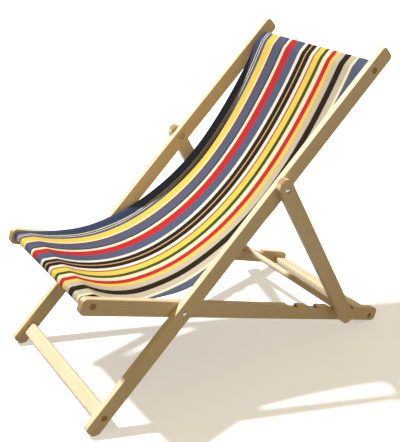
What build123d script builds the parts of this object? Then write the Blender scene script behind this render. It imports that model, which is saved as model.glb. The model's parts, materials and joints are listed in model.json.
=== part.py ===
"""Folding wooden deck chair with a striped canvas sling.

Three hinged frames make the chair. The back frame stands on the floor at the front and
carries the canvas at its top bar. The seat frame crosses it, stands on the floor at the
rear and carries the canvas at its front bar. The strut frame hangs from the back frame,
and its crossbar sits in one of four notches in the seat rails.

Millimetres. X runs across the chair (+X is the sitter's left), the sitter faces -Y,
Z is up, and the floor is Z = 0. "left" is the +X side. A place on a rail is given by its
distance along the rail from the main pivot and its distance off the rail's line.
"""

import os
from cmath import rect
from math import asin, cos, exp, radians, sin

from build123d import *

# ---------------------------------------------------------------- driving dimensions

PIVOT_Y = -224.2              # main pivot, where the back and seat rails cross
PIVOT_Z = 277.6
RAIL_T = 20.0                 # thickness of every rail across the chair
EDGE = 1.2                    # eased edges of the rails

BACK_ANGLE = 42.8             # slope of the back rails, degrees up to the rear
BACK_W = 46.0
BACK_OUTER_X = 267.0
BACK_FOOT = -397.0
BACK_TOP = 903.0
BACK_FOOT_R = 15.0
BACK_TOP_R = 12.0

SEAT_ANGLE = -19.4            # slope of the seat rails, down to the rear
SEAT_W = 45.0
SEAT_OUTER_X = 245.0
SEAT_RISE = 1.7               # seat rail's centreline above the main pivot
SEAT_FRONT = -300.0
SEAT_REAR = 791.0
SEAT_FRONT_R = 14.0
SEAT_REAR_TOP_R = 18.0
SEAT_REAR_FOOT_R = 12.0

NOTCHES = (426.0, 510.0, 602.5, 675.0)   # upright rear face of each notch
NOTCH_DEPTH = 8.6
NOTCH_LENGTH = 42.0
NOTCH_FLAT = 18.0
NOTCH_LIP_R = 3.0
NOTCH_RAMP_R = 30.0

STRUT_ANGLE = -61.3           # slope of the struts, down to the rear
STRUT_W = 44.5
STRUT_T = 20.0
STRUT_PIVOT = 426.2           # strut pivot on the back rail
STRUT_REACH = 549.0           # strut pivot to the centre of the lower round end
STRUT_TOP = -11.0             # strut pivot to the centre of the upper round end
STRUT_BAR_REACH = 524.5       # strut pivot to the crossbar
STRUT_BAR_R = 10.5
STRUT_BAR_SOCKET = 15.0

BAR_W = 42.0                  # flat bars that join the rails, along the rail
BAR_T = 20.0
BAR_EDGE_R = 7.0
REAR_BAR_W = 54.0
TENON_R = 9.2
TOP_BAR = (835.0, 0.0)
FOOT_BAR = (-342.0, -2.0)
FRONT_BAR = (-268.0, 5.0)
REAR_BAR = (762.0, -4.0)

BOLT_R = 4.0
HEAD_R = 7.5
HEAD_H = 4.0
NUT_R = 7.0
NUT_H = 3.0
WASHER_R = 8.4
WASHER_T = 1.0
SPACER_R = 11.0
SPACER_T = 2.0                # gap between rails that turn side by side
RECESS_R = 9.0                # round recess for a bolt head or a nut
RECESS_DEPTH = 4.0
FIT = 0.05                    # radial clearance of tenons and bolts
PLAY = 0.3                    # gap between pieces that turn past each other

CANVAS_T = 1.6
CANVAS_HALF_W = 221.0
CANVAS_FRONT_SLOPE = -34.0    # slope of the hanging canvas where it leaves the front bar, degrees
CANVAS_BACK_SLOPE = 75.0      # slope that it eases towards, up the back
CANVAS_EASE = 500.0           # length over which the slope eases
CANVAS_STEP = 25.0
CANVAS_STEPS = 42             # from bar to bar
CANVAS_SPLIT = 9              # step where the two halves meet
SPLIT_GAP = 1.0               # gap between the halves

# ---------------------------------------------------------------- worked out

BACK_INNER_X = BACK_OUTER_X - RAIL_T
SEAT_INNER_X = SEAT_OUTER_X - RAIL_T
STRUT_INNER_X = BACK_OUTER_X + SPACER_T
STRUT_OUTER_X = STRUT_INNER_X + STRUT_T
SEAT_TOP = SEAT_RISE + SEAT_W / 2
SEAT_BOTTOM = SEAT_RISE - SEAT_W / 2
SIDES = (("left", 1), ("right", -1))


def on_rail(angle, along, off=0.0):
    """Y and Z of a place on a rail through the main pivot."""
    a = radians(angle)
    y = PIVOT_Y + along * cos(a) - off * sin(a)
    z = PIVOT_Z + along * sin(a) + off * cos(a)
    return y, z


def rail_plane(x, angle, pivot=(PIVOT_Y, PIVOT_Z)):
    """Plane across the chair: its x runs along a rail to the rear, its y off the rail's top."""
    a = radians(angle)
    return Plane(origin=(x, *pivot), x_dir=(0, cos(a), sin(a)), z_dir=(1, 0, 0))


def cross_axis_plane(sign, x, pivot):
    """Plane through a bolt: its x runs outwards along the bolt, its y away from the axis."""
    return Plane(origin=(sign * x, *pivot), x_dir=(sign, 0, 0), z_dir=(0, -sign, 0))


def dome(radius, height):
    """Middle point of the arc that domes a disc of this radius up to this height."""
    sphere = (radius**2 + height**2) / (2 * height)
    half = asin(radius / sphere) / 2
    return height - sphere * (1 - cos(half)), sphere * sin(half)


def hanging_course(start, end):
    """Y and Z at each step along the hanging canvas, by its easing slope, between two places."""
    hung = [0j]
    for i in range(CANVAS_STEPS):
        eased = 1 - exp(-(i + 0.5) * CANVAS_STEP / CANVAS_EASE)
        slope = CANVAS_FRONT_SLOPE + (CANVAS_BACK_SLOPE - CANVAS_FRONT_SLOPE) * eased
        hung.append(hung[-1] + rect(CANVAS_STEP, radians(slope)))
    fit = (complex(*end) - complex(*start)) / hung[-1]
    places = [complex(*start) + p * fit for p in hung]
    return [(p.real, p.imag) for p in places]


def finish(piece, name):
    piece.part.label = name
    export_step(piece.part, f"parts/{name}.step")


MAIN_PIVOT = (PIVOT_Y, PIVOT_Z)
STRUT_PIVOT_YZ = on_rail(BACK_ANGLE, STRUT_PIVOT)

os.makedirs("parts", exist_ok=True)

# ---------------------------------------------------------------- back rails

for side, sign in SIDES:
    inner = rail_plane(sign * BACK_INNER_X, BACK_ANGLE)
    outer = rail_plane(sign * BACK_OUTER_X, BACK_ANGLE)
    with BuildPart() as back_rail:
        with BuildSketch(inner):
            with BuildLine():
                FilletPolyline(
                    (BACK_FOOT, -BACK_W / 2),
                    (BACK_TOP, -BACK_W / 2),
                    (BACK_TOP, BACK_W / 2),
                    (BACK_FOOT, BACK_W / 2),
                    radius=(BACK_FOOT_R, BACK_TOP_R, BACK_TOP_R, BACK_FOOT_R),
                    close=True,
                )
            make_face()
        extrude(amount=sign * RAIL_T)
        chamfer(back_rail.faces().filter_by(Axis.X).edges(), EDGE)
        with BuildSketch(inner):
            with Locations((0, 0), (STRUT_PIVOT, 0)):
                Circle(BOLT_R + FIT)
            with Locations(TOP_BAR, FOOT_BAR):
                Circle(TENON_R + FIT)
        extrude(amount=sign * RAIL_T, mode=Mode.SUBTRACT)
        with BuildSketch(outer):
            Circle(RECESS_R)
        extrude(amount=-sign * RECESS_DEPTH, mode=Mode.SUBTRACT)
        with BuildSketch(inner):
            with Locations((STRUT_PIVOT, 0)):
                Circle(RECESS_R)
        extrude(amount=sign * RECESS_DEPTH, mode=Mode.SUBTRACT)
        split(bisect_by=Plane.XY, keep=Keep.TOP)
    finish(back_rail, f"back_rail_{side}")

# ---------------------------------------------------------------- seat rails

notch_points = []
notch_radii = []
for step in reversed(NOTCHES):
    notch_points += [
        (step, SEAT_TOP),
        (step, SEAT_TOP - NOTCH_DEPTH),
        (step - NOTCH_FLAT, SEAT_TOP - NOTCH_DEPTH),
        (step - NOTCH_LENGTH, SEAT_TOP),
    ]
    notch_radii += [NOTCH_LIP_R, 0, 0, NOTCH_RAMP_R]

for side, sign in SIDES:
    inner = rail_plane(sign * SEAT_INNER_X, SEAT_ANGLE)
    with BuildPart() as seat_rail:
        with BuildSketch(inner):
            with BuildLine():
                FilletPolyline(
                    (SEAT_FRONT, SEAT_BOTTOM),
                    (SEAT_REAR, SEAT_BOTTOM),
                    (SEAT_REAR, SEAT_TOP),
                    *notch_points,
                    (SEAT_FRONT, SEAT_TOP),
                    radius=(SEAT_FRONT_R, SEAT_REAR_FOOT_R, SEAT_REAR_TOP_R, *notch_radii, SEAT_FRONT_R),
                    close=True,
                )
            make_face()
        extrude(amount=sign * RAIL_T)
        chamfer(seat_rail.faces().filter_by(Axis.X).edges(), EDGE)
        with BuildSketch(inner):
            Circle(BOLT_R + FIT)
            with Locations(FRONT_BAR, REAR_BAR):
                Circle(TENON_R + FIT)
        extrude(amount=sign * RAIL_T, mode=Mode.SUBTRACT)
        with BuildSketch(inner):
            Circle(RECESS_R)
        extrude(amount=sign * RECESS_DEPTH, mode=Mode.SUBTRACT)
        split(bisect_by=Plane.XY, keep=Keep.TOP)
    finish(seat_rail, f"seat_rail_{side}")

# ---------------------------------------------------------------- struts and their crossbar

for side, sign in SIDES:
    inner = rail_plane(sign * STRUT_INNER_X, STRUT_ANGLE, STRUT_PIVOT_YZ)
    outer = rail_plane(sign * STRUT_OUTER_X, STRUT_ANGLE, STRUT_PIVOT_YZ)
    with BuildPart() as strut:
        with BuildSketch(inner):
            with Locations(((STRUT_REACH + STRUT_TOP) / 2, 0)):
                SlotCenterToCenter(STRUT_REACH - STRUT_TOP, STRUT_W)
        extrude(amount=sign * STRUT_T)
        chamfer(strut.faces().filter_by(Axis.X).edges(), EDGE)
        with BuildSketch(inner):
            Circle(BOLT_R + FIT)
        extrude(amount=sign * STRUT_T, mode=Mode.SUBTRACT)
        with BuildSketch(inner):
            with Locations((STRUT_BAR_REACH, 0)):
                Circle(STRUT_BAR_R + FIT)
        extrude(amount=sign * STRUT_BAR_SOCKET, mode=Mode.SUBTRACT)
        with BuildSketch(outer):
            Circle(RECESS_R)
        extrude(amount=-sign * RECESS_DEPTH, mode=Mode.SUBTRACT)
    finish(strut, f"strut_{side}")

with BuildPart() as strut_bar:
    with BuildSketch(rail_plane(0, STRUT_ANGLE, STRUT_PIVOT_YZ)):
        with Locations((STRUT_BAR_REACH, 0)):
            Circle(STRUT_BAR_R)
    extrude(amount=STRUT_INNER_X + STRUT_BAR_SOCKET - PLAY, both=True)
finish(strut_bar, "strut_bar")

# ---------------------------------------------------------------- flat bars with round tenons

for name, angle, place, width, half, tenon_end in (
    ("top_bar", BACK_ANGLE, TOP_BAR, BAR_W, BACK_INNER_X, BACK_OUTER_X),
    ("foot_bar", BACK_ANGLE, FOOT_BAR, BAR_W, BACK_INNER_X, BACK_OUTER_X),
    ("front_bar", SEAT_ANGLE, FRONT_BAR, BAR_W, SEAT_INNER_X, SEAT_OUTER_X),
    ("rear_bar", SEAT_ANGLE, REAR_BAR, REAR_BAR_W, SEAT_INNER_X, SEAT_OUTER_X),
):
    with BuildPart() as bar:
        with BuildSketch(rail_plane(0, angle)):
            with Locations(place):
                RectangleRounded(width, BAR_T, BAR_EDGE_R)
        extrude(amount=half, both=True)
        with BuildSketch(rail_plane(0, angle)):
            with Locations(place):
                Circle(TENON_R)
        extrude(amount=tenon_end, both=True)
    finish(bar, name)

# ---------------------------------------------------------------- bolts, washers and nuts

# name, pivot, face under the washer, face over the nut, gap between the turning rails
PIVOTS = (
    ("pivot", MAIN_PIVOT, BACK_OUTER_X - RECESS_DEPTH, SEAT_INNER_X + RECESS_DEPTH, SEAT_OUTER_X),
    ("strut", STRUT_PIVOT_YZ, STRUT_OUTER_X - RECESS_DEPTH, BACK_INNER_X + RECESS_DEPTH, BACK_OUTER_X),
)

for side, sign in SIDES:
    for name, pivot, washer_face, nut_face, gap_start in PIVOTS:
        head_face = washer_face + PLAY + WASHER_T
        shank = head_face - nut_face + NUT_H / 2
        with BuildPart() as bolt:
            with BuildSketch(cross_axis_plane(sign, head_face, pivot)):
                with BuildLine():
                    Polyline((HEAD_H, 0), (-shank, 0), (-shank, BOLT_R), (0, BOLT_R), (0, HEAD_R))
                    ThreePointArc((0, HEAD_R), dome(HEAD_R, HEAD_H), (HEAD_H, 0))
                make_face()
            revolve(axis=Axis((0, *pivot), (1, 0, 0)))
        finish(bolt, f"{name}_bolt_{side}")

        with BuildPart() as washer:
            with BuildSketch(rail_plane(sign * (washer_face + PLAY), 0, pivot)):
                Circle(WASHER_R)
                Circle(BOLT_R + FIT, mode=Mode.SUBTRACT)
            extrude(amount=sign * WASHER_T)
        finish(washer, f"{name}_washer_{side}")

        with BuildPart() as spacer:
            with BuildSketch(rail_plane(sign * (gap_start + PLAY / 2), 0, pivot)):
                Circle(SPACER_R)
                Circle(BOLT_R + FIT, mode=Mode.SUBTRACT)
            extrude(amount=sign * (SPACER_T - PLAY))
        finish(spacer, f"{name}_spacer_{side}")

        with BuildPart() as nut:
            with BuildSketch(rail_plane(sign * (nut_face - PLAY), 0, pivot)):
                Circle(NUT_R)
            extrude(amount=-sign * NUT_H)
            rims = nut.edges().filter_by(GeomType.CIRCLE)
            fillet(rims.sort_by_distance((0, *pivot))[0], NUT_H / 2)
            with BuildSketch(rail_plane(sign * (nut_face - PLAY), 0, pivot)):
                Circle(BOLT_R + FIT)
            extrude(amount=-sign * NUT_H / 2, mode=Mode.SUBTRACT)
        finish(nut, f"{name}_nut_{side}")

# ---------------------------------------------------------------- canvas

# The sleeve is a band round the bar; the sheet leaves it from the upper face of the bar.
SLEEVE_IN = 2 * PLAY
SLEEVE_OUT = SLEEVE_IN + 2 * CANVAS_T
SHEET_OFF = BAR_T / 2 + PLAY + CANVAS_T / 2
SHEET_END = BAR_W / 2 - BAR_EDGE_R


def sheet_end(angle, place, leave):
    """Where the sheet leaves the upper face of a bar, towards the other bar."""
    return on_rail(angle, place[0] + leave * SHEET_END, place[1] + SHEET_OFF)


course = hanging_course(sheet_end(SEAT_ANGLE, FRONT_BAR, 1), sheet_end(BACK_ANGLE, TOP_BAR, -1))
split_y, split_z = course[CANVAS_SPLIT]
before, after = course[CANVAS_SPLIT - 1], course[CANVAS_SPLIT + 1]

for name, angle, place, leave, points, start_shift in (
    ("canvas_seat", SEAT_ANGLE, FRONT_BAR, 1, course[3:CANVAS_SPLIT:3][::-1], -1),
    ("canvas_back", BACK_ANGLE, TOP_BAR, -1, course[CANVAS_SPLIT + 5 : -5 : 5], 1),
):
    bar_direction = (-leave * cos(radians(angle)), -leave * sin(radians(angle)))
    start = (split_y + start_shift * SPLIT_GAP / 2, split_z)
    split_direction = (start_shift * (after[0] - before[0]), start_shift * (after[1] - before[1]))
    with BuildPart() as canvas:
        with BuildSketch(Plane.YZ):
            with BuildLine():
                end = sheet_end(angle, place, leave)
                Spline(start, *points, end, tangents=(split_direction, bar_direction))
            trace(line_width=CANVAS_T)
        extrude(amount=CANVAS_HALF_W, both=True)
        with BuildSketch(rail_plane(0, angle)):
            with Locations(place):
                RectangleRounded(BAR_W + SLEEVE_OUT, BAR_T + SLEEVE_OUT, BAR_EDGE_R + SLEEVE_OUT / 2)
        extrude(amount=CANVAS_HALF_W, both=True)
        with BuildSketch(rail_plane(0, angle)):
            with Locations(place):
                RectangleRounded(BAR_W + SLEEVE_IN, BAR_T + SLEEVE_IN, BAR_EDGE_R + SLEEVE_IN / 2)
        extrude(amount=CANVAS_HALF_W, both=True, mode=Mode.SUBTRACT)
    finish(canvas, name)
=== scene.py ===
"""Looks of a folding deck chair: a striped canvas sling on a frame of varnished pine.

Metres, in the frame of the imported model: +X is the sitter's left, the sitter faces -Y, +Z is up.
"""

import json
import math

import bpy
import numpy as np
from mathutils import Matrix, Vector


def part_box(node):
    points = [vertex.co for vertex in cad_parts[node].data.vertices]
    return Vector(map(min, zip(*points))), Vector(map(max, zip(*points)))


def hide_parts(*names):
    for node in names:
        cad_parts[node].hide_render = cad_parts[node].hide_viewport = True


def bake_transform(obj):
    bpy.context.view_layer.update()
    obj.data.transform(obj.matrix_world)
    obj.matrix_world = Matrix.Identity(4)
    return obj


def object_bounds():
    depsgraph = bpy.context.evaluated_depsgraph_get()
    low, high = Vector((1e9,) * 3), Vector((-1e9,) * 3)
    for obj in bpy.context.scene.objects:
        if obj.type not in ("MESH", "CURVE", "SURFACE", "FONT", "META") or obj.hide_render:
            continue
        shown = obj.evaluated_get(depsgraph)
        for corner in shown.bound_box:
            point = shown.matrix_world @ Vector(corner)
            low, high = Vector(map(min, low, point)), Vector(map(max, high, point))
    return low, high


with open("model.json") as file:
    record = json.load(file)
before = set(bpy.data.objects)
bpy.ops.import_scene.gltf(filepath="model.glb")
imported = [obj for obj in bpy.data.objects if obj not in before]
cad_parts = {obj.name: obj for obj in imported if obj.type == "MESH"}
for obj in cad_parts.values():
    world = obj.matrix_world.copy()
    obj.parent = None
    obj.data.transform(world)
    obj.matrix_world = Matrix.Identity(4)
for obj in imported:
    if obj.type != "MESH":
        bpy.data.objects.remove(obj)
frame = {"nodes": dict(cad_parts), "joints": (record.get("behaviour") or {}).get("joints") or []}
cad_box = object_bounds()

MM = 0.001

# ---------------------------------------------------------------- places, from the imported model

JOINT = {j["name"]: j for j in frame["joints"]}
PIVOT_Y, PIVOT_Z = JOINT["seat_fold"]["pos_m"][1:]
STRUT_PIVOT_Y, STRUT_PIVOT_Z = JOINT["strut_fold"]["pos_m"][1:]


def middle(node):
    lo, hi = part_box(node)
    return (lo + hi) / 2


def slope_to(node, y, z):
    """Slope, in radians, of the line to the middle of a node."""
    m = middle(node)
    return math.atan2(m.z - z, m.y - y)


BACK_ANGLE = slope_to("top_bar", PIVOT_Y, PIVOT_Z)
SEAT_ANGLE = math.radians(-19.4)
STRUT_ANGLE = slope_to("strut_bar", STRUT_PIVOT_Y, STRUT_PIVOT_Z)


# ---------------------------------------------------------------- node helpers


def put(tree, kind, inputs=None, **settings):
    """A shader node with its settings and inputs. An input is a socket to link or a value."""
    n = tree.nodes.new(kind)
    for k, v in settings.items():
        setattr(n, k, v)
    for k, v in (inputs or {}).items():
        if isinstance(v, bpy.types.NodeSocket):
            tree.links.new(v, n.inputs[k])
        else:
            n.inputs[k].default_value = v
    return n


def math_node(tree, op, a, b=0.0, c=0.0, clamp=False):
    return put(tree, "ShaderNodeMath", {0: a, 1: b, 2: c}, operation=op, use_clamp=clamp).outputs[0]


def ramp(tree, fac, stops, mode="LINEAR"):
    n = put(tree, "ShaderNodeValToRGB", {"Fac": fac})
    n.color_ramp.interpolation = mode
    while len(n.color_ramp.elements) < len(stops):
        n.color_ramp.elements.new(0.5)
    for e, (place, _) in zip(n.color_ramp.elements, stops):
        e.position = place
    for e, (_, colour) in zip(n.color_ramp.elements, stops):
        e.color = (*colour, 1.0)
    return n.outputs["Color"]


def mix(tree, fac, a, b, blend="MIX"):
    n = put(tree, "ShaderNodeMix", {"Factor": fac}, data_type="RGBA", blend_type=blend)
    for socket, v in ((n.inputs[6], a), (n.inputs[7], b)):
        if isinstance(v, bpy.types.NodeSocket):
            tree.links.new(v, socket)
        else:
            socket.default_value = (*v, 1.0)
    return n.outputs[2]


def noise(tree, vector, scale, detail=3.0, rough=0.5, distortion=0.0):
    inputs = {
        "Vector": vector,
        "Scale": scale,
        "Detail": detail,
        "Roughness": rough,
        "Distortion": distortion,
    }
    return put(tree, "ShaderNodeTexNoise", inputs).outputs["Fac"]


def linear(rgb):
    """Linear colour from an sRGB one in 0 to 255."""
    out = []
    for v in rgb:
        v = v / 255
        out.append(v / 12.92 if v <= 0.04045 else ((v + 0.055) / 1.055) ** 2.4)
    return tuple(out)


def new_material(name):
    m = bpy.data.materials.new(name)
    m.use_nodes = True
    tree = m.node_tree
    shader = tree.nodes["Principled BSDF"]
    return m, tree, shader


# ---------------------------------------------------------------- wood

WOOD_PALE = linear((241, 225, 194))
WOOD_MID = linear((236, 214, 176))
WOOD_DARK = linear((208, 170, 116))
WOOD_END = linear((166, 118, 70))
RING_PITCH = 5 * MM


def wood(name, turn, seed):
    """Pale varnished pine. turn, an XYZ rotation, brings the grain onto local Y."""
    m, t, shader = new_material(name)
    place = put(t, "ShaderNodeTexCoord").outputs["Object"]
    grain = {"Vector": place, "Rotation": turn, "Location": seed}
    local = put(t, "ShaderNodeMapping", grain).outputs["Vector"]

    # Growth rings round a far-off pith, waved slowly along the grain.
    wander = put(t, "ShaderNodeMapping", {"Vector": local, "Scale": (9.0, 2.2, 9.0)}).outputs["Vector"]
    sway = noise(t, wander, 1.0, 2.0)
    split = put(t, "ShaderNodeSeparateXYZ", {"Vector": local})
    x2 = math_node(t, "MULTIPLY", split.outputs["X"], split.outputs["X"])
    z2 = math_node(t, "MULTIPLY", split.outputs["Z"], split.outputs["Z"])
    radius = math_node(t, "SQRT", math_node(t, "ADD", x2, z2))
    radius = math_node(t, "ADD", radius, math_node(t, "MULTIPLY", sway, 0.03))
    ring = math_node(t, "FRACT", math_node(t, "DIVIDE", radius, RING_PITCH))
    late = ramp(t, ring, ((0.0, (0, 0, 0)), (0.55, (0.12,) * 3), (0.9, (1, 1, 1)), (1.0, (0, 0, 0))))

    fibre_at = put(t, "ShaderNodeMapping", {"Vector": local, "Scale": (420.0, 9.0, 420.0)}).outputs["Vector"]
    fibre = noise(t, fibre_at, 1.0, 4.0, 0.6)
    cloud_at = put(t, "ShaderNodeMapping", {"Vector": local, "Scale": (14.0, 3.0, 14.0)}).outputs["Vector"]
    cloud = noise(t, cloud_at, 1.0, 2.0)

    tone = ramp(t, cloud, ((0.3, WOOD_MID), (0.7, WOOD_PALE)))
    tone = mix(t, math_node(t, "MULTIPLY", late, 0.28), tone, WOOD_DARK)
    streak = ramp(t, fibre, ((0.35, (0.78, 0.74, 0.68)), (0.6, (1, 1, 1))))
    tone = mix(t, 0.3, tone, streak, "MULTIPLY")

    # End grain is darker and rougher.
    normal = put(t, "ShaderNodeTexCoord").outputs["Normal"]
    turned = put(t, "ShaderNodeMapping", {"Vector": normal, "Rotation": turn}, vector_type="NORMAL")
    facing = put(t, "ShaderNodeSeparateXYZ", {"Vector": turned.outputs["Vector"]})
    along = math_node(t, "ABSOLUTE", facing.outputs["Y"])
    end = ramp(t, along, ((0.75, (0, 0, 0)), (0.95, (1, 1, 1))))
    tone = mix(t, math_node(t, "MULTIPLY", end, 0.85), tone, WOOD_END)
    t.links.new(tone, shader.inputs["Base Color"])

    rough = math_node(t, "MULTIPLY_ADD", fibre, 0.25, 0.38)
    rough = math_node(t, "MULTIPLY_ADD", end, 0.25, rough)
    t.links.new(rough, shader.inputs["Roughness"])
    height = math_node(t, "MULTIPLY_ADD", late, 0.4, fibre)
    bump = put(t, "ShaderNodeBump", {"Height": height, "Strength": 0.25, "Distance": 0.0004})
    t.links.new(bump.outputs["Normal"], shader.inputs["Normal"])
    shader.inputs["Coat Weight"].default_value = 0.12
    shader.inputs["Coat Roughness"].default_value = 0.3
    shader.inputs["Specular IOR Level"].default_value = 0.4
    return m


def paint(node, material):
    for s in frame["nodes"][node].material_slots:
        s.material = material


QUARTER = math.pi / 2
WOOD_RUNS = {
    "back_rail_left": ((-BACK_ANGLE, 0, 0), (0.06, 0.3, 0.05)),
    "back_rail_right": ((-BACK_ANGLE, 0, 0), (0.09, 1.1, -0.07)),
    "seat_rail_left": ((-SEAT_ANGLE, 0, 0), (-0.05, 2.3, 0.08)),
    "seat_rail_right": ((-SEAT_ANGLE, 0, 0), (0.04, 3.1, 0.09)),
    "strut_left": ((-STRUT_ANGLE, 0, 0), (0.03, 4.2, -0.09)),
    "strut_right": ((-STRUT_ANGLE, 0, 0), (-0.07, 5.3, 0.04)),
    "top_bar": ((0, 0, QUARTER), (0.02, 6.1, 0.03)),
    "foot_bar": ((0, 0, QUARTER), (0.05, 7.4, -0.04)),
    "front_bar": ((0, 0, QUARTER), (-0.04, 8.2, 0.05)),
    "rear_bar": ((0, 0, QUARTER), (0.07, 9.6, 0.02)),
    "strut_bar": ((0, 0, QUARTER), (0.01, 10.3, -0.05)),
}
for piece, (turn, seed) in WOOD_RUNS.items():
    paint(piece, wood(f"pine_{piece}", turn, seed))

# ---------------------------------------------------------------- zinc-plated hardware


def zinc():
    m, t, shader = new_material("dull_zinc")
    place = put(t, "ShaderNodeTexCoord").outputs["Object"]
    cloud = noise(t, place, 220.0, 4.0, 0.6)
    grime = noise(t, place, 60.0, 3.0)
    tone = ramp(t, cloud, ((0.35, linear((178, 176, 170))), (0.7, linear((232, 230, 224)))))
    tone = mix(t, math_node(t, "MULTIPLY", grime, 0.2), tone, linear((84, 66, 50)))
    t.links.new(tone, shader.inputs["Base Color"])
    t.links.new(math_node(t, "MULTIPLY_ADD", grime, 0.4, 0.25), shader.inputs["Roughness"])
    bump = put(t, "ShaderNodeBump", {"Height": cloud, "Strength": 0.2, "Distance": 0.0002})
    t.links.new(bump.outputs["Normal"], shader.inputs["Normal"])
    shader.inputs["Metallic"].default_value = 0.85
    return m


steel = zinc()
for piece, node in frame["nodes"].items():
    if piece.startswith(("pivot_", "strut_bolt", "strut_washer", "strut_spacer", "strut_nut")):
        paint(piece, steel)

# ---------------------------------------------------------------- canvas

CUT_W = 480 * MM              # finished width, hem to hem
HEM = 12 * MM                 # turned under along both edges
CLOTH_T = 0.9 * MM
DYE = 0.84                    # share of the full colour that worn dye gives back
COLOURS = {
    "blue": (86, 99, 130),
    # The stripe on the right edge is darker than the other blue. This is partly its own darker tone and
    # partly painted shade of the edge, which curls up away from the sun.
    "navy_and_painted_shade": (66, 82, 124),
    "black": (26, 22, 26),
    "white": (248, 244, 232),
    "slate": (92, 98, 120),
    "yellow": (252, 218, 92),
    "cream": (250, 240, 206),
    "wine": (146, 28, 38),
    "red": (212, 38, 48),
    "coffee": (36, 22, 14),
    "tan": (206, 172, 118),
    "rust": (176, 70, 28),
    "green": (58, 88, 50),
    "sand": (208, 198, 176),
}
# Stripe widths, in mm, and the stripes across the cloth from the sitter's right.
HAIR, LINE, SLIM, NARROW, MEDIUM, WIDE, BROAD, FULL, BORDER = 3, 6, 10, 13, 17, 22, 28, 35, 40
STRIPES = (
    ("navy_and_painted_shade", WIDE), ("white", HAIR), ("black", LINE), ("white", HAIR), ("slate", NARROW),
    ("yellow", BROAD), ("cream", SLIM), ("wine", LINE), ("blue", FULL), ("black", LINE),
    ("cream", NARROW), ("red", BROAD), ("blue", FULL), ("white", NARROW), ("coffee", MEDIUM),
    ("tan", LINE), ("coffee", MEDIUM), ("white", NARROW), ("rust", LINE), ("yellow", WIDE),
    ("green", NARROW), ("cream", MEDIUM), ("red", MEDIUM), ("yellow", NARROW), ("sand", WIDE),
    ("coffee", WIDE), ("sand", WIDE), ("cream", SLIM), ("blue", BORDER),
)


def canvas_material():
    """Woven stripes. The UV map holds metres: U across the cut cloth from its middle, V along it."""
    m, t, shader = new_material("striped_canvas")
    cloth = put(t, "ShaderNodeUVMap", uv_map="cut").outputs["UV"]
    split = put(t, "ShaderNodeSeparateXYZ", {"Vector": cloth})
    u, v = split.outputs["X"], split.outputs["Y"]

    # Stripe edges wander by a thread or so.
    slow = put(t, "ShaderNodeMapping", {"Vector": cloth, "Scale": (400.0, 60.0, 1.0)}).outputs["Vector"]
    ragged = math_node(t, "SUBTRACT", noise(t, slow, 1.0, 2.0), 0.5)
    u_thread = math_node(t, "MULTIPLY_ADD", ragged, 0.0012, u)
    total = sum(w for _, w in STRIPES)
    fac = math_node(t, "MULTIPLY_ADD", u_thread, 1 / CUT_W, 0.5)
    stops, place = [], 0.0
    for name, width in STRIPES:
        stops.append((place / total, tuple(DYE * v for v in linear(COLOURS[name]))))
        place += width
    colour = ramp(t, fac, stops, "CONSTANT")

    # Warp threads vary in tone along the stripes, weft crosses them.
    warp_at = put(t, "ShaderNodeMapping", {"Vector": cloth, "Scale": (1100.0, 14.0, 1.0)}).outputs["Vector"]
    weft_at = put(t, "ShaderNodeMapping", {"Vector": cloth, "Scale": (30.0, 1000.0, 1.0)}).outputs["Vector"]
    warp, weft = noise(t, warp_at, 1.0, 3.0, 0.6), noise(t, weft_at, 1.0, 3.0, 0.6)
    threads = math_node(t, "MULTIPLY_ADD", weft, 0.5, math_node(t, "MULTIPLY", warp, 0.5))
    shade = ramp(t, threads, ((0.3, (0.72,) * 3), (0.7, (1.12,) * 3)))
    colour = mix(t, 0.55, colour, shade, "MULTIPLY")
    # Pale cotton shows between the dyed threads.
    twill = math_node(t, "SINE", math_node(t, "MULTIPLY", math_node(t, "ADD", u, v), 2 * math.pi / 0.0021))
    fleck = math_node(t, "MULTIPLY", ramp(t, twill, ((0.55, (0, 0, 0)), (0.95, (1, 1, 1)))), 0.02)
    colour = mix(t, fleck, colour, linear((214, 206, 190)))
    # Sun fading and soiling in broad patches.
    patch_at = put(t, "ShaderNodeMapping", {"Vector": cloth, "Scale": (7.0, 4.0, 1.0)}).outputs["Vector"]
    patch = noise(t, patch_at, 1.0, 4.0, 0.6)
    colour = mix(t, math_node(t, "MULTIPLY", patch, 0.015), colour, linear((200, 190, 172)))
    t.links.new(colour, shader.inputs["Base Color"])

    # Plain weave: threads over and under at about a millimetre.
    over = math_node(t, "SINE", math_node(t, "MULTIPLY", u, 2 * math.pi / 0.0014))
    under = math_node(t, "SINE", math_node(t, "MULTIPLY", v, 2 * math.pi / 0.0014))
    weave = math_node(t, "MULTIPLY", over, under)
    height = math_node(t, "MULTIPLY_ADD", threads, 0.8, math_node(t, "MULTIPLY", weave, 0.35))
    height = math_node(t, "MULTIPLY_ADD", twill, 0.2, height)
    bump = put(t, "ShaderNodeBump", {"Height": height, "Strength": 0.35, "Distance": 0.0006})
    t.links.new(bump.outputs["Normal"], shader.inputs["Normal"])
    t.links.new(math_node(t, "MULTIPLY_ADD", threads, 0.15, 0.78), shader.inputs["Roughness"])
    shader.inputs["Sheen Weight"].default_value = 0.01
    shader.inputs["Sheen Roughness"].default_value = 0.5
    shader.inputs["Specular IOR Level"].default_value = 0.1
    return m


# ---------------------------------------------------------------- sling shape

BAR_HALF = 21 * MM            # half the bar's width along the rail
BAR_HALF_T = 10 * MM
BAR_CORNER = 7 * MM
WRAP = 2.4 * MM               # cloth's middle surface above the bar
FLAP = 30 * MM                # from the bar to the seam that closes the sleeve
SEAM_GAP = 2.6 * MM

# The middle of the sling hangs by a slope that eases from the front bar to the top bar.
FRONT_SLOPE, BACK_SLOPE = math.radians(-34), math.radians(75)
SLOPE_EASE = 500 * MM
COURSE_STEP = 25 * MM
COURSE_STEPS = 42

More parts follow.
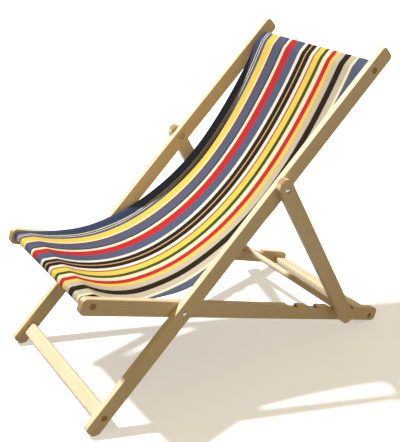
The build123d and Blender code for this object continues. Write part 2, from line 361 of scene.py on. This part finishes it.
# Rises, in mm: how much, then the places behind the main pivot where each starts, is full,
# fades and is gone.
LEFT_TILT = (-13, -240, -150, -20, 140)      # the sitter's left side
SIDES_DROOP = (-14, 120, 400, 470, 600)      # both sides
RIGHT_CURL = (15, -380, 80, 490, 590)        # the right edge
LEFT_CURL = (18, 20, 420, 450, 570)          # the left edge

# Widths from the middle, in mm: at the front bar, then each change and where it starts and ends.
RIGHT_WIDTH = (223, (19, -80, 200), (-3, 480, 560))
LEFT_WIDTH = (210, (15, -80, 60), (14, 430, 570))
LEFT_CLOTH = (200, (28, -120, 50), (12, 430, 570))  # cloth up to where the left edge turns under
RIGHT_ZONE = 26 * MM          # strips along the edges that the edges' own rises bend
LEFT_ZONE = 55 * MM
FRONT_LIFT = (3.5 * MM, 6 * MM)  # seam bulk that lifts the cloth off the front bar's top
ROW_STEP = 7 * MM
COLUMNS = 81


# Corners of a bar's section: towards the rail's rear or front end, on its upper or lower side.
REAR_UPPER, FRONT_UPPER, FRONT_LOWER, REAR_LOWER = range(4)
CORNER_STEPS = 5


def rounded_corner(centre, angle, corner):
    """Places of the cloth round one corner of a bar's section, going clockwise."""
    r = BAR_CORNER + WRAP
    cx = (BAR_HALF + WRAP - r) * (1, -1, -1, 1)[corner]
    cz = (BAR_HALF_T + WRAP - r) * (1, 1, -1, -1)[corner]
    c, s = math.cos(angle), math.sin(angle)
    places = []
    for k in range(CORNER_STEPS, -1, -1):
        a = math.radians(90 * (corner + k / CORNER_STEPS))
        x, z = cx + r * math.cos(a), cz + r * math.sin(a)
        places.append(centre + np.array((x * c - z * s, x * s + z * c)))
    return places


def catmull(points, step):
    """Points about a step apart on a smooth curve through the points, any number of columns."""
    p = np.vstack([2 * points[0] - points[1], points, 2 * points[-1] - points[-2]])
    out = []
    for i in range(1, len(p) - 2):
        length = np.linalg.norm(p[i + 1, :2] - p[i, :2])
        n = max(1, round(length / step))
        k = [0.0]
        for j in range(i - 1, i + 2):
            k.append(k[-1] + math.sqrt(np.linalg.norm(p[j + 1, :2] - p[j, :2])))
        for t in np.linspace(k[1], k[2], n, endpoint=False):
            q = p[i - 1 : i + 3]
            a = [((k[j + 1] - t) * q[j] + (t - k[j]) * q[j + 1]) / (k[j + 1] - k[j]) for j in range(3)]
            b = [((k[j + 2] - t) * a[j] + (t - k[j]) * a[j + 1]) / (k[j + 2] - k[j]) for j in range(2)]
            out.append(((k[2] - t) * b[0] + (t - k[1]) * b[1]) / (k[2] - k[1]))
    out.append(p[-2])
    return np.array(out)


def ease(v, start, end):
    """0 up to the start, 1 from the end, smooth between."""
    t = np.clip((v - start) / (end - start), 0, 1)
    return t * t * (3 - 2 * t)


def rise(v, size, start, full, fade, gone):
    return size * ease(v, start, full) * (1 - ease(v, fade, gone))


def width(v, base, *changes):
    return base + sum(size * ease(v, start, end) for size, start, end in changes)


def hanging_course(start, end):
    """Rows between two places along the middle: Y, Z, four rises and three widths."""
    gone = (np.arange(COURSE_STEPS) + 0.5) * COURSE_STEP
    slope = FRONT_SLOPE + (BACK_SLOPE - FRONT_SLOPE) * (1 - np.exp(-gone / SLOPE_EASE))
    hung = np.r_[0, np.cumsum(COURSE_STEP * np.exp(1j * slope))]
    start, end = complex(*start), complex(*end)
    placed = start + hung * (end - start) / hung[-1]
    v = (placed.real - PIVOT_Y) / MM
    rises = [rise(v, *r) * MM for r in (LEFT_TILT, SIDES_DROOP, RIGHT_CURL, LEFT_CURL)]
    widths = [width(v, *w) * MM for w in (RIGHT_WIDTH, LEFT_WIDTH, LEFT_CLOTH)]
    return np.stack([placed.real, placed.imag, *rises, *widths], axis=1)


def bar_centre(node):
    m = middle(node)
    return np.array((m.y, m.z))


def sling_rows():
    """Rows of the front sleeve, of the sheet between the bars and of the top sleeve."""
    front, top = bar_centre("front_bar"), bar_centre("top_bar")

    # Front sleeve: seam under the seat, under the bar, round its front edge, on to its top.
    loop = []
    for corner in (REAR_LOWER, FRONT_LOWER, FRONT_UPPER):
        loop += rounded_corner(front, SEAT_ANGLE, corner)
    c, s = math.cos(SEAT_ANGLE), math.sin(SEAT_ANGLE)
    top_face = BAR_HALF_T + WRAP
    leave = []
    for x, lift in zip((0.0, BAR_HALF - BAR_CORNER), FRONT_LIFT):
        z = top_face + lift
        leave.append(front + np.array((x * c - z * s, x * s + z * c)))
    front_places = loop[1:] + leave

    # Top sleeve, the other way round.
    loop = []
    for corner in (REAR_UPPER, REAR_LOWER, FRONT_LOWER):
        loop += rounded_corner(top, BACK_ANGLE, corner)
    c, s = math.cos(BACK_ANGLE), math.sin(BACK_ANGLE)
    arrive = []
    for x in (BAR_CORNER - BAR_HALF, 0.0):
        arrive.append(top + np.array((x * c - top_face * s, x * s + top_face * c)))
    top_places = arrive + loop[:-1]

    course = hanging_course(front_places[-1], top_places[0])
    front_rows = [np.array((*p, 0, 0, 0, 0, *course[0, 6:])) for p in front_places]
    top_rows = [np.array((*p, 0, 0, 0, 0, *course[-1, 6:])) for p in top_places]
    anchors = np.vstack([front_rows[-2:], course[2:-1:2], top_rows[:2]])
    sheet = catmull(anchors, ROW_STEP)
    return front_rows[:-2], sheet, top_rows[2:]


front_rows, sheet, top_rows = sling_rows()


def along_sheet(rows, distance):
    """Index of the row this far along the rows from the first."""
    gone = 0.0
    for i in range(1, len(rows)):
        gone += np.linalg.norm(rows[i, :2] - rows[i - 1, :2])
        if gone >= distance:
            return i
    return len(rows) - 1


def sheet_under(rows, i, gap):
    """The place under the middle of row i of the sheet."""
    d = rows[i + 1, :2] - rows[i - 1, :2]
    d /= np.linalg.norm(d)
    up = np.array((-d[1], d[0]))
    if up[1] < 0:
        up = -up
    return rows[i, :2] - up * gap


front_seam = along_sheet(sheet, 2 * BAR_HALF + FLAP - BAR_CORNER)
top_seam = len(sheet) - 1 - along_sheet(sheet[::-1], 2 * BAR_HALF + FLAP - BAR_CORNER)


def flap(bar_row, seam_row):
    """Rows from the bar to the seam."""
    under = sheet_under(sheet, seam_row, SEAM_GAP)
    n = max(2, round(float(np.linalg.norm(under - bar_row[:2])) / ROW_STEP))
    out = []
    for w in np.arange(1, n + 1) / n:
        edges = bar_row[6:] * (1 - w) + sheet[seam_row, 6:] * w
        out.append(np.array((*(bar_row[:2] * (1 - w) + under * w), 0, 0, 0, 0, *edges)))
    return out


front_flap = flap(front_rows[0], front_seam)[::-1]
top_flap = flap(top_rows[-1], top_seam)
rows = np.vstack([front_flap, front_rows, sheet, top_rows, top_flap])
FIRST_SHEET = len(front_flap) + len(front_rows)
LAST_SHEET = FIRST_SHEET + len(sheet) - 1
FRONT_SEAM_ROW = FIRST_SHEET + front_seam
TOP_SEAM_ROW = FIRST_SHEET + top_seam
course_length = np.r_[0, np.cumsum(np.linalg.norm(np.diff(rows[:, :2], axis=0), axis=1))]


def rest_shape():
    """Positions of every row and column of the sling before it settles, and the cloth's own U."""
    right, left = rows[:, 6, None], rows[:, 7, None]
    x = -right + (right + left) * np.linspace(0, 1, COLUMNS)[None]
    u = x * 2 / CUT_W
    rise = rows[:, 2, None] * u + rows[:, 3, None] * u**2
    for k, inset in ((4, (x + right) / RIGHT_ZONE), (5, (left - x) / LEFT_ZONE)):
        edge = np.clip(1 - inset, 0, 1)
        rise = rise + rows[:, k, None] * edge * edge * (3 - 2 * edge)
    d = np.gradient(rows[:, :2], axis=0)
    d /= np.linalg.norm(d, axis=1)[:, None]
    out = np.zeros((len(rows), COLUMNS, 3))
    out[:, :, 0] = x
    out[:, :, 1] = rows[:, 0, None] - rise * d[:, 1, None]
    out[:, :, 2] = rows[:, 1, None] + rise * d[:, 0, None]
    # The right side gathers where there is no room for it. The left side turns under.
    cloth_u = np.where(x < 0, x * (CUT_W / 2) / right, x * rows[:, 8, None] / left)
    return out, cloth_u


grid, cloth_u = rest_shape()
flat_u = np.where(np.abs(cloth_u) > np.abs(grid[:, :, 0]), cloth_u, grid[:, :, 0])


def grid_faces(n_rows, n_columns):
    quads = []
    for r in range(n_rows - 1):
        for c in range(n_columns - 1):
            a = r * n_columns + c
            quads.append((a, a + 1, a + n_columns + 1, a + n_columns))
    return quads


def add_mesh(name, verts, faces, smooth=True):
    mesh = bpy.data.meshes.new(name)
    mesh.from_pydata([tuple(map(float, v)) for v in verts], [], faces)
    mesh.update()
    if smooth:
        mesh.polygons.foreach_set("use_smooth", [True] * len(mesh.polygons))
    o = bpy.data.objects.new(name, mesh)
    bpy.context.scene.collection.objects.link(o)
    return o


# ---------------------------------------------------------------- cloth

SETTLE_FRAMES = 24
SETTLE_CAP = 11 * MM
HOLD = 0.10                   # how firmly the sheet keeps to its course between the bars


def settle(grid):
    """The flat cut cloth, held in the sleeves, gathers and creases between the bars."""
    n_rows = len(rows)
    o = add_mesh("settling", grid.reshape(-1, 3), grid_faces(n_rows, COLUMNS))
    o.shape_key_add(name="hung")
    cut = o.shape_key_add(name="cut")
    for r in range(n_rows):
        for c in range(COLUMNS):
            cut.data[r * COLUMNS + c].co = (flat_u[r, c], course_length[r], 0)
    held = o.vertex_groups.new(name="held")
    for r in range(n_rows):
        inside = min(r - FIRST_SHEET, LAST_SHEET - r)
        near_bar = 1.0 if inside <= 2 else HOLD + (1 - HOLD) * math.exp(-(inside - 2) / 2.5)
        held.add([r * COLUMNS + c for c in range(COLUMNS)], near_bar, "REPLACE")
    m = o.modifiers.new("cloth", "CLOTH")
    s = m.settings
    s.quality = 6
    s.mass = 0.15
    s.tension_stiffness = s.compression_stiffness = 25
    s.shear_stiffness = 8
    s.bending_stiffness = 1.5
    s.air_damping = 2
    s.vertex_group_mass = "held"
    s.pin_stiffness = 1.0
    s.rest_shape_key = cut
    m.point_cache.frame_start, m.point_cache.frame_end = 1, SETTLE_FRAMES
    scene = bpy.context.scene
    scene.frame_start, scene.frame_end = 1, SETTLE_FRAMES
    for f in range(1, SETTLE_FRAMES + 1):
        scene.frame_set(f)
    e = o.evaluated_get(bpy.context.evaluated_depsgraph_get())
    co = np.zeros(len(e.data.vertices) * 3)
    e.data.vertices.foreach_get("co", co)
    co = co.reshape(grid.shape)
    scene.frame_set(1)
    mesh = o.data
    bpy.data.objects.remove(o)
    bpy.data.meshes.remove(mesh)
    move = co - grid
    far = np.linalg.norm(move, axis=2, keepdims=True)
    move *= SETTLE_CAP * np.tanh(far / SETTLE_CAP) / np.maximum(far, 1e-9)
    return grid + move


grid = settle(grid)


# ---------------------------------------------------------------- hems and thickness


def unit(v):
    return v / np.maximum(np.linalg.norm(v, axis=-1, keepdims=True), 1e-9)


def normals(g):
    return unit(np.cross(np.gradient(g, axis=1), np.gradient(g, axis=0)))


TURN = 0.8 * MM               # radius of the turned edge
UNDER_COLUMNS = 8


def close_sleeves(g):
    """Lays each sleeve's flap from its bar to the underside of the settled sheet."""
    up = normals(g)
    n, m = len(front_flap), len(top_flap)
    for k in range(n):
        w = (n - k) / n
        g[k] = g[n] * (1 - w) + (g[FRONT_SEAM_ROW] - up[FRONT_SEAM_ROW] * SEAM_GAP) * w
    for k in range(m):
        w = (k + 1) / m
        g[-m + k] = g[-m - 1] * (1 - w) + (g[TOP_SEAM_ROW] - up[TOP_SEAM_ROW] * SEAM_GAP) * w


def hemmed(g):
    """Adds what is turned under along both edges. Returns the wider grid and its U."""
    up = normals(g)
    pitch = np.linalg.norm(np.diff(g, axis=1), axis=2).sum(axis=1) / (COLUMNS - 1)
    wide, wide_u = g, cloth_u
    r = np.arange(len(g))
    for end, sign in ((0, -1), (-1, 1)):
        edge, over = g[:, end], up[:, end]
        inward = unit(g[:, 1 if end == 0 else -2] - edge)
        depth = HEM + CUT_W / 2 - np.abs(cloth_u[:, end])
        extra, extra_u = [], []
        for a in np.radians((45, 90, 135)):
            extra.append(edge - inward * TURN * math.sin(a) - over * TURN * (1 - math.cos(a)))
            extra_u.append(cloth_u[:, end] + sign * TURN * a)
        for share in np.linspace(0, 1, UNDER_COLUMNS):
            place = depth * share / pitch
            i = np.clip(place.astype(int), 0, COLUMNS - 2)
            f = (place - i)[:, None]
            a, b = (i, i + 1) if end == 0 else (COLUMNS - 1 - i, COLUMNS - 2 - i)
            p = g[r, a] * (1 - f) + g[r, b] * f
            n = unit(up[r, a] * (1 - f) + up[r, b] * f)
            extra.append(p - n * 2 * TURN)
            extra_u.append(cloth_u[:, end] + sign * (TURN * math.pi + depth * share))
        extra, extra_u = np.stack(extra, axis=1), np.stack(extra_u, axis=1)
        if end == 0:
            wide = np.concatenate([extra[:, ::-1], wide], axis=1)
            wide_u = np.concatenate([extra_u[:, ::-1], wide_u], axis=1)
        else:
            wide = np.concatenate([wide, extra], axis=1)
            wide_u = np.concatenate([wide_u, extra_u], axis=1)
    return wide, wide_u


close_sleeves(grid)
wide, wide_u = hemmed(grid)
n_rows, n_columns = wide.shape[:2]
sling = add_mesh("sling", wide.reshape(-1, 3), grid_faces(n_rows, n_columns))
cut_map = sling.data.uv_layers.new(name="cut")
for loop in sling.data.loops:
    r, c = divmod(loop.vertex_index, n_columns)
    cut_map.data[loop.index].uv = (wide_u[r, c], course_length[r])
sling.data.materials.append(canvas_material())


def apply_modifiers(o):
    e = o.evaluated_get(bpy.context.evaluated_depsgraph_get())
    mesh = bpy.data.meshes.new_from_object(e)
    old = o.data
    o.modifiers.clear()
    o.data = mesh
    bpy.data.meshes.remove(old)
    mesh.name = o.name


thick = sling.modifiers.new("thickness", "SOLIDIFY")
thick.thickness = CLOTH_T
thick.offset = 0
apply_modifiers(sling)

# ---------------------------------------------------------------- stitches

STITCH_L, STITCH_W, STITCH_PITCH = 2.2 * MM, 0.4 * MM, 3.6 * MM


def stitch_row(points, ups):
    """Short rounded stitches along a line on the cloth."""
    verts, faces = [], []
    gone = np.r_[0, np.cumsum(np.linalg.norm(np.diff(points, axis=0), axis=1))]
    at = np.arange(STITCH_PITCH, gone[-1] - STITCH_PITCH, STITCH_PITCH)
    mid = np.stack([np.interp(at, gone, points[:, k]) for k in range(3)], axis=1)
    up = unit(np.stack([np.interp(at, gone, ups[:, k]) for k in range(3)], axis=1))
    for p, n, d in zip(mid, up, unit(np.gradient(mid, axis=0))):
        side = np.cross(d, n)
        base = len(verts)
        for along, size in ((-0.5, 0.35), (-0.3, 0.9), (0.0, 1.0), (0.3, 0.9), (0.5, 0.35)):
            for k in range(6):
                a = math.tau * k / 6
                ring = side * math.cos(a) * STITCH_W / 2 + n * math.sin(a) * STITCH_W / 3
                verts.append(p + d * along * STITCH_L + ring * size)
        for r in range(4):
            for k in range(6):
                a, b = base + r * 6 + k, base + r * 6 + (k + 1) % 6
                faces.append((a, b, b + 6, a + 6))
        faces.append(tuple(base + k for k in range(5, -1, -1)))
        faces.append(tuple(base + 24 + k for k in range(6)))
    return verts, faces


def thread_material():
    m, t, shader = new_material("cotton_thread")
    place = put(t, "ShaderNodeTexCoord").outputs["Object"]
    twist = noise(t, place, 900.0, 2.0)
    tone = ramp(t, twist, ((0.3, linear((112, 104, 92))), (0.7, linear((150, 140, 124)))))
    t.links.new(tone, shader.inputs["Base Color"])
    t.links.new(math_node(t, "MULTIPLY_ADD", twist, 0.2, 0.7), shader.inputs["Roughness"])
    bump = put(t, "ShaderNodeBump", {"Height": twist, "Strength": 0.3, "Distance": 0.0002})
    t.links.new(bump.outputs["Normal"], shader.inputs["Normal"])
    return m


def stitches():
    up = normals(grid)
    verts, faces = [], []

    def add(points, ups):
        v, f = stitch_row(points, ups)
        faces.extend(tuple(i + len(verts) for i in q) for q in f)
        verts.extend(v)

    over = CLOTH_T / 2
    for row in (FRONT_SEAM_ROW, FRONT_SEAM_ROW - 1, TOP_SEAM_ROW, TOP_SEAM_ROW + 1):
        add(grid[row, 1:-1] + up[row, 1:-1] * over, up[row, 1:-1])
    inset = (HEM - 2 * MM) / (CUT_W / (COLUMNS - 1))
    i, f = int(inset), inset - int(inset)
    rows_used = slice(FIRST_SHEET + 3, LAST_SHEET - 2)
    for a, b in ((i, i + 1), (-1 - i, -2 - i)):
        line = grid[rows_used, a] * (1 - f) + grid[rows_used, b] * f
        n = up[rows_used, a]
        add(line + n * over, n)
    return verts, faces


thread = add_mesh("sling_stitching", *stitches())
thread.data.materials.append(thread_material())

# ---------------------------------------------------------------- the sling and its stitching baked in place, the model's canvas hidden

for o in (sling, thread):
    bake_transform(o)
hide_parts("canvas_seat", "canvas_back")

# ---------------------------------------------------------------- floor, light and camera

FLOOR_SIZE = 30.0
FLOOR_TONE, FLOOR_GLOW = 0.93, 0.4
floor = add_mesh(
    "floor",
    [(x * FLOOR_SIZE, y * FLOOR_SIZE, 0.0) for x, y in ((-1, -1), (1, -1), (1, 1), (-1, 1))],
    [(0, 1, 2, 3)],
    smooth=False,
)
floor_material, _, floor_shader = new_material("pale_floor")
floor_shader.inputs["Base Color"].default_value = (FLOOR_TONE, FLOOR_TONE, FLOOR_TONE, 1)
floor_shader.inputs["Roughness"].default_value = 0.9
floor_shader.inputs["Specular IOR Level"].default_value = 0.1
floor_shader.inputs["Emission Color"].default_value = (1, 1, 1, 1)
floor_shader.inputs["Emission Strength"].default_value = FLOOR_GLOW
floor.data.materials.append(floor_material)
floor.visible_diffuse = False

# The sky is white where it is seen. As light it is warmer, and dimmer from below.
FILL_ABOVE, FILL_BELOW = 0.42, 0.16
world = bpy.data.worlds.new("studio")
bpy.context.scene.world = world
world.use_nodes = True
sky = world.node_tree
seen = put(sky, "ShaderNodeBackground", {"Color": (1, 1, 1, 1), "Strength": 1.0}).outputs[0]
ray = put(sky, "ShaderNodeSeparateXYZ", {"Vector": put(sky, "ShaderNodeTexCoord").outputs["Generated"]})
height = math_node(sky, "MULTIPLY_ADD", ray.outputs["Z"], 1.5, 0.5, clamp=True)
fill = math_node(sky, "MULTIPLY_ADD", height, FILL_ABOVE - FILL_BELOW, FILL_BELOW)
felt = put(sky, "ShaderNodeBackground", {"Color": (1.0, 0.80, 0.45, 1), "Strength": fill}).outputs[0]
direct = put(sky, "ShaderNodeLightPath").outputs["Is Camera Ray"]
either = put(sky, "ShaderNodeMixShader", {0: direct, 1: felt, 2: seen}).outputs[0]
sky.links.new(either, sky.nodes["World Output"].inputs["Surface"])

KEY_FROM = (-0.55, -0.35, 0.95)
KEY_ENERGY = 4.2
KEY_ANGLE = math.radians(3.5)
CHAIR_CENTRE = (cad_box[0] + cad_box[1]) / 2

sun = bpy.data.lights.new("key", "SUN")
sun.energy = KEY_ENERGY
sun.angle = KEY_ANGLE
sun.color = (0.97, 0.98, 1.0)
key = bpy.data.objects.new("key", sun)
key.rotation_mode = "QUATERNION"
key.rotation_quaternion = Vector(KEY_FROM).to_track_quat("Z", "Y")
key.location = CHAIR_CENTRE + Vector(KEY_FROM) * 3
bpy.context.scene.collection.objects.link(key)

CAM_AZIMUTH, CAM_ELEVATION = math.radians(57.07), math.radians(24.81)
CAM_DISTANCE = 2.3884
CAM_LENS, CAM_SENSOR = 62.81, 36.0
CAM_TARGET = Vector((-0.0688, PIVOT_Y + 0.2644, 0.3515))
camera_data = bpy.data.cameras.new("camera")
camera_data.sensor_width = CAM_SENSOR
camera_data.lens = CAM_LENS
camera = bpy.data.objects.new("camera", camera_data)
back = Vector((
    math.sin(CAM_AZIMUTH) * math.cos(CAM_ELEVATION),
    -math.cos(CAM_AZIMUTH) * math.cos(CAM_ELEVATION),
    math.sin(CAM_ELEVATION),
))
camera.location = CAM_TARGET + back * CAM_DISTANCE
camera.rotation_mode = "QUATERNION"
camera.rotation_quaternion = (-back).to_track_quat("-Z", "Y")
bpy.context.scene.collection.objects.link(camera)
bpy.context.scene.camera = camera
bpy.context.scene.view_settings.view_transform = "Standard"
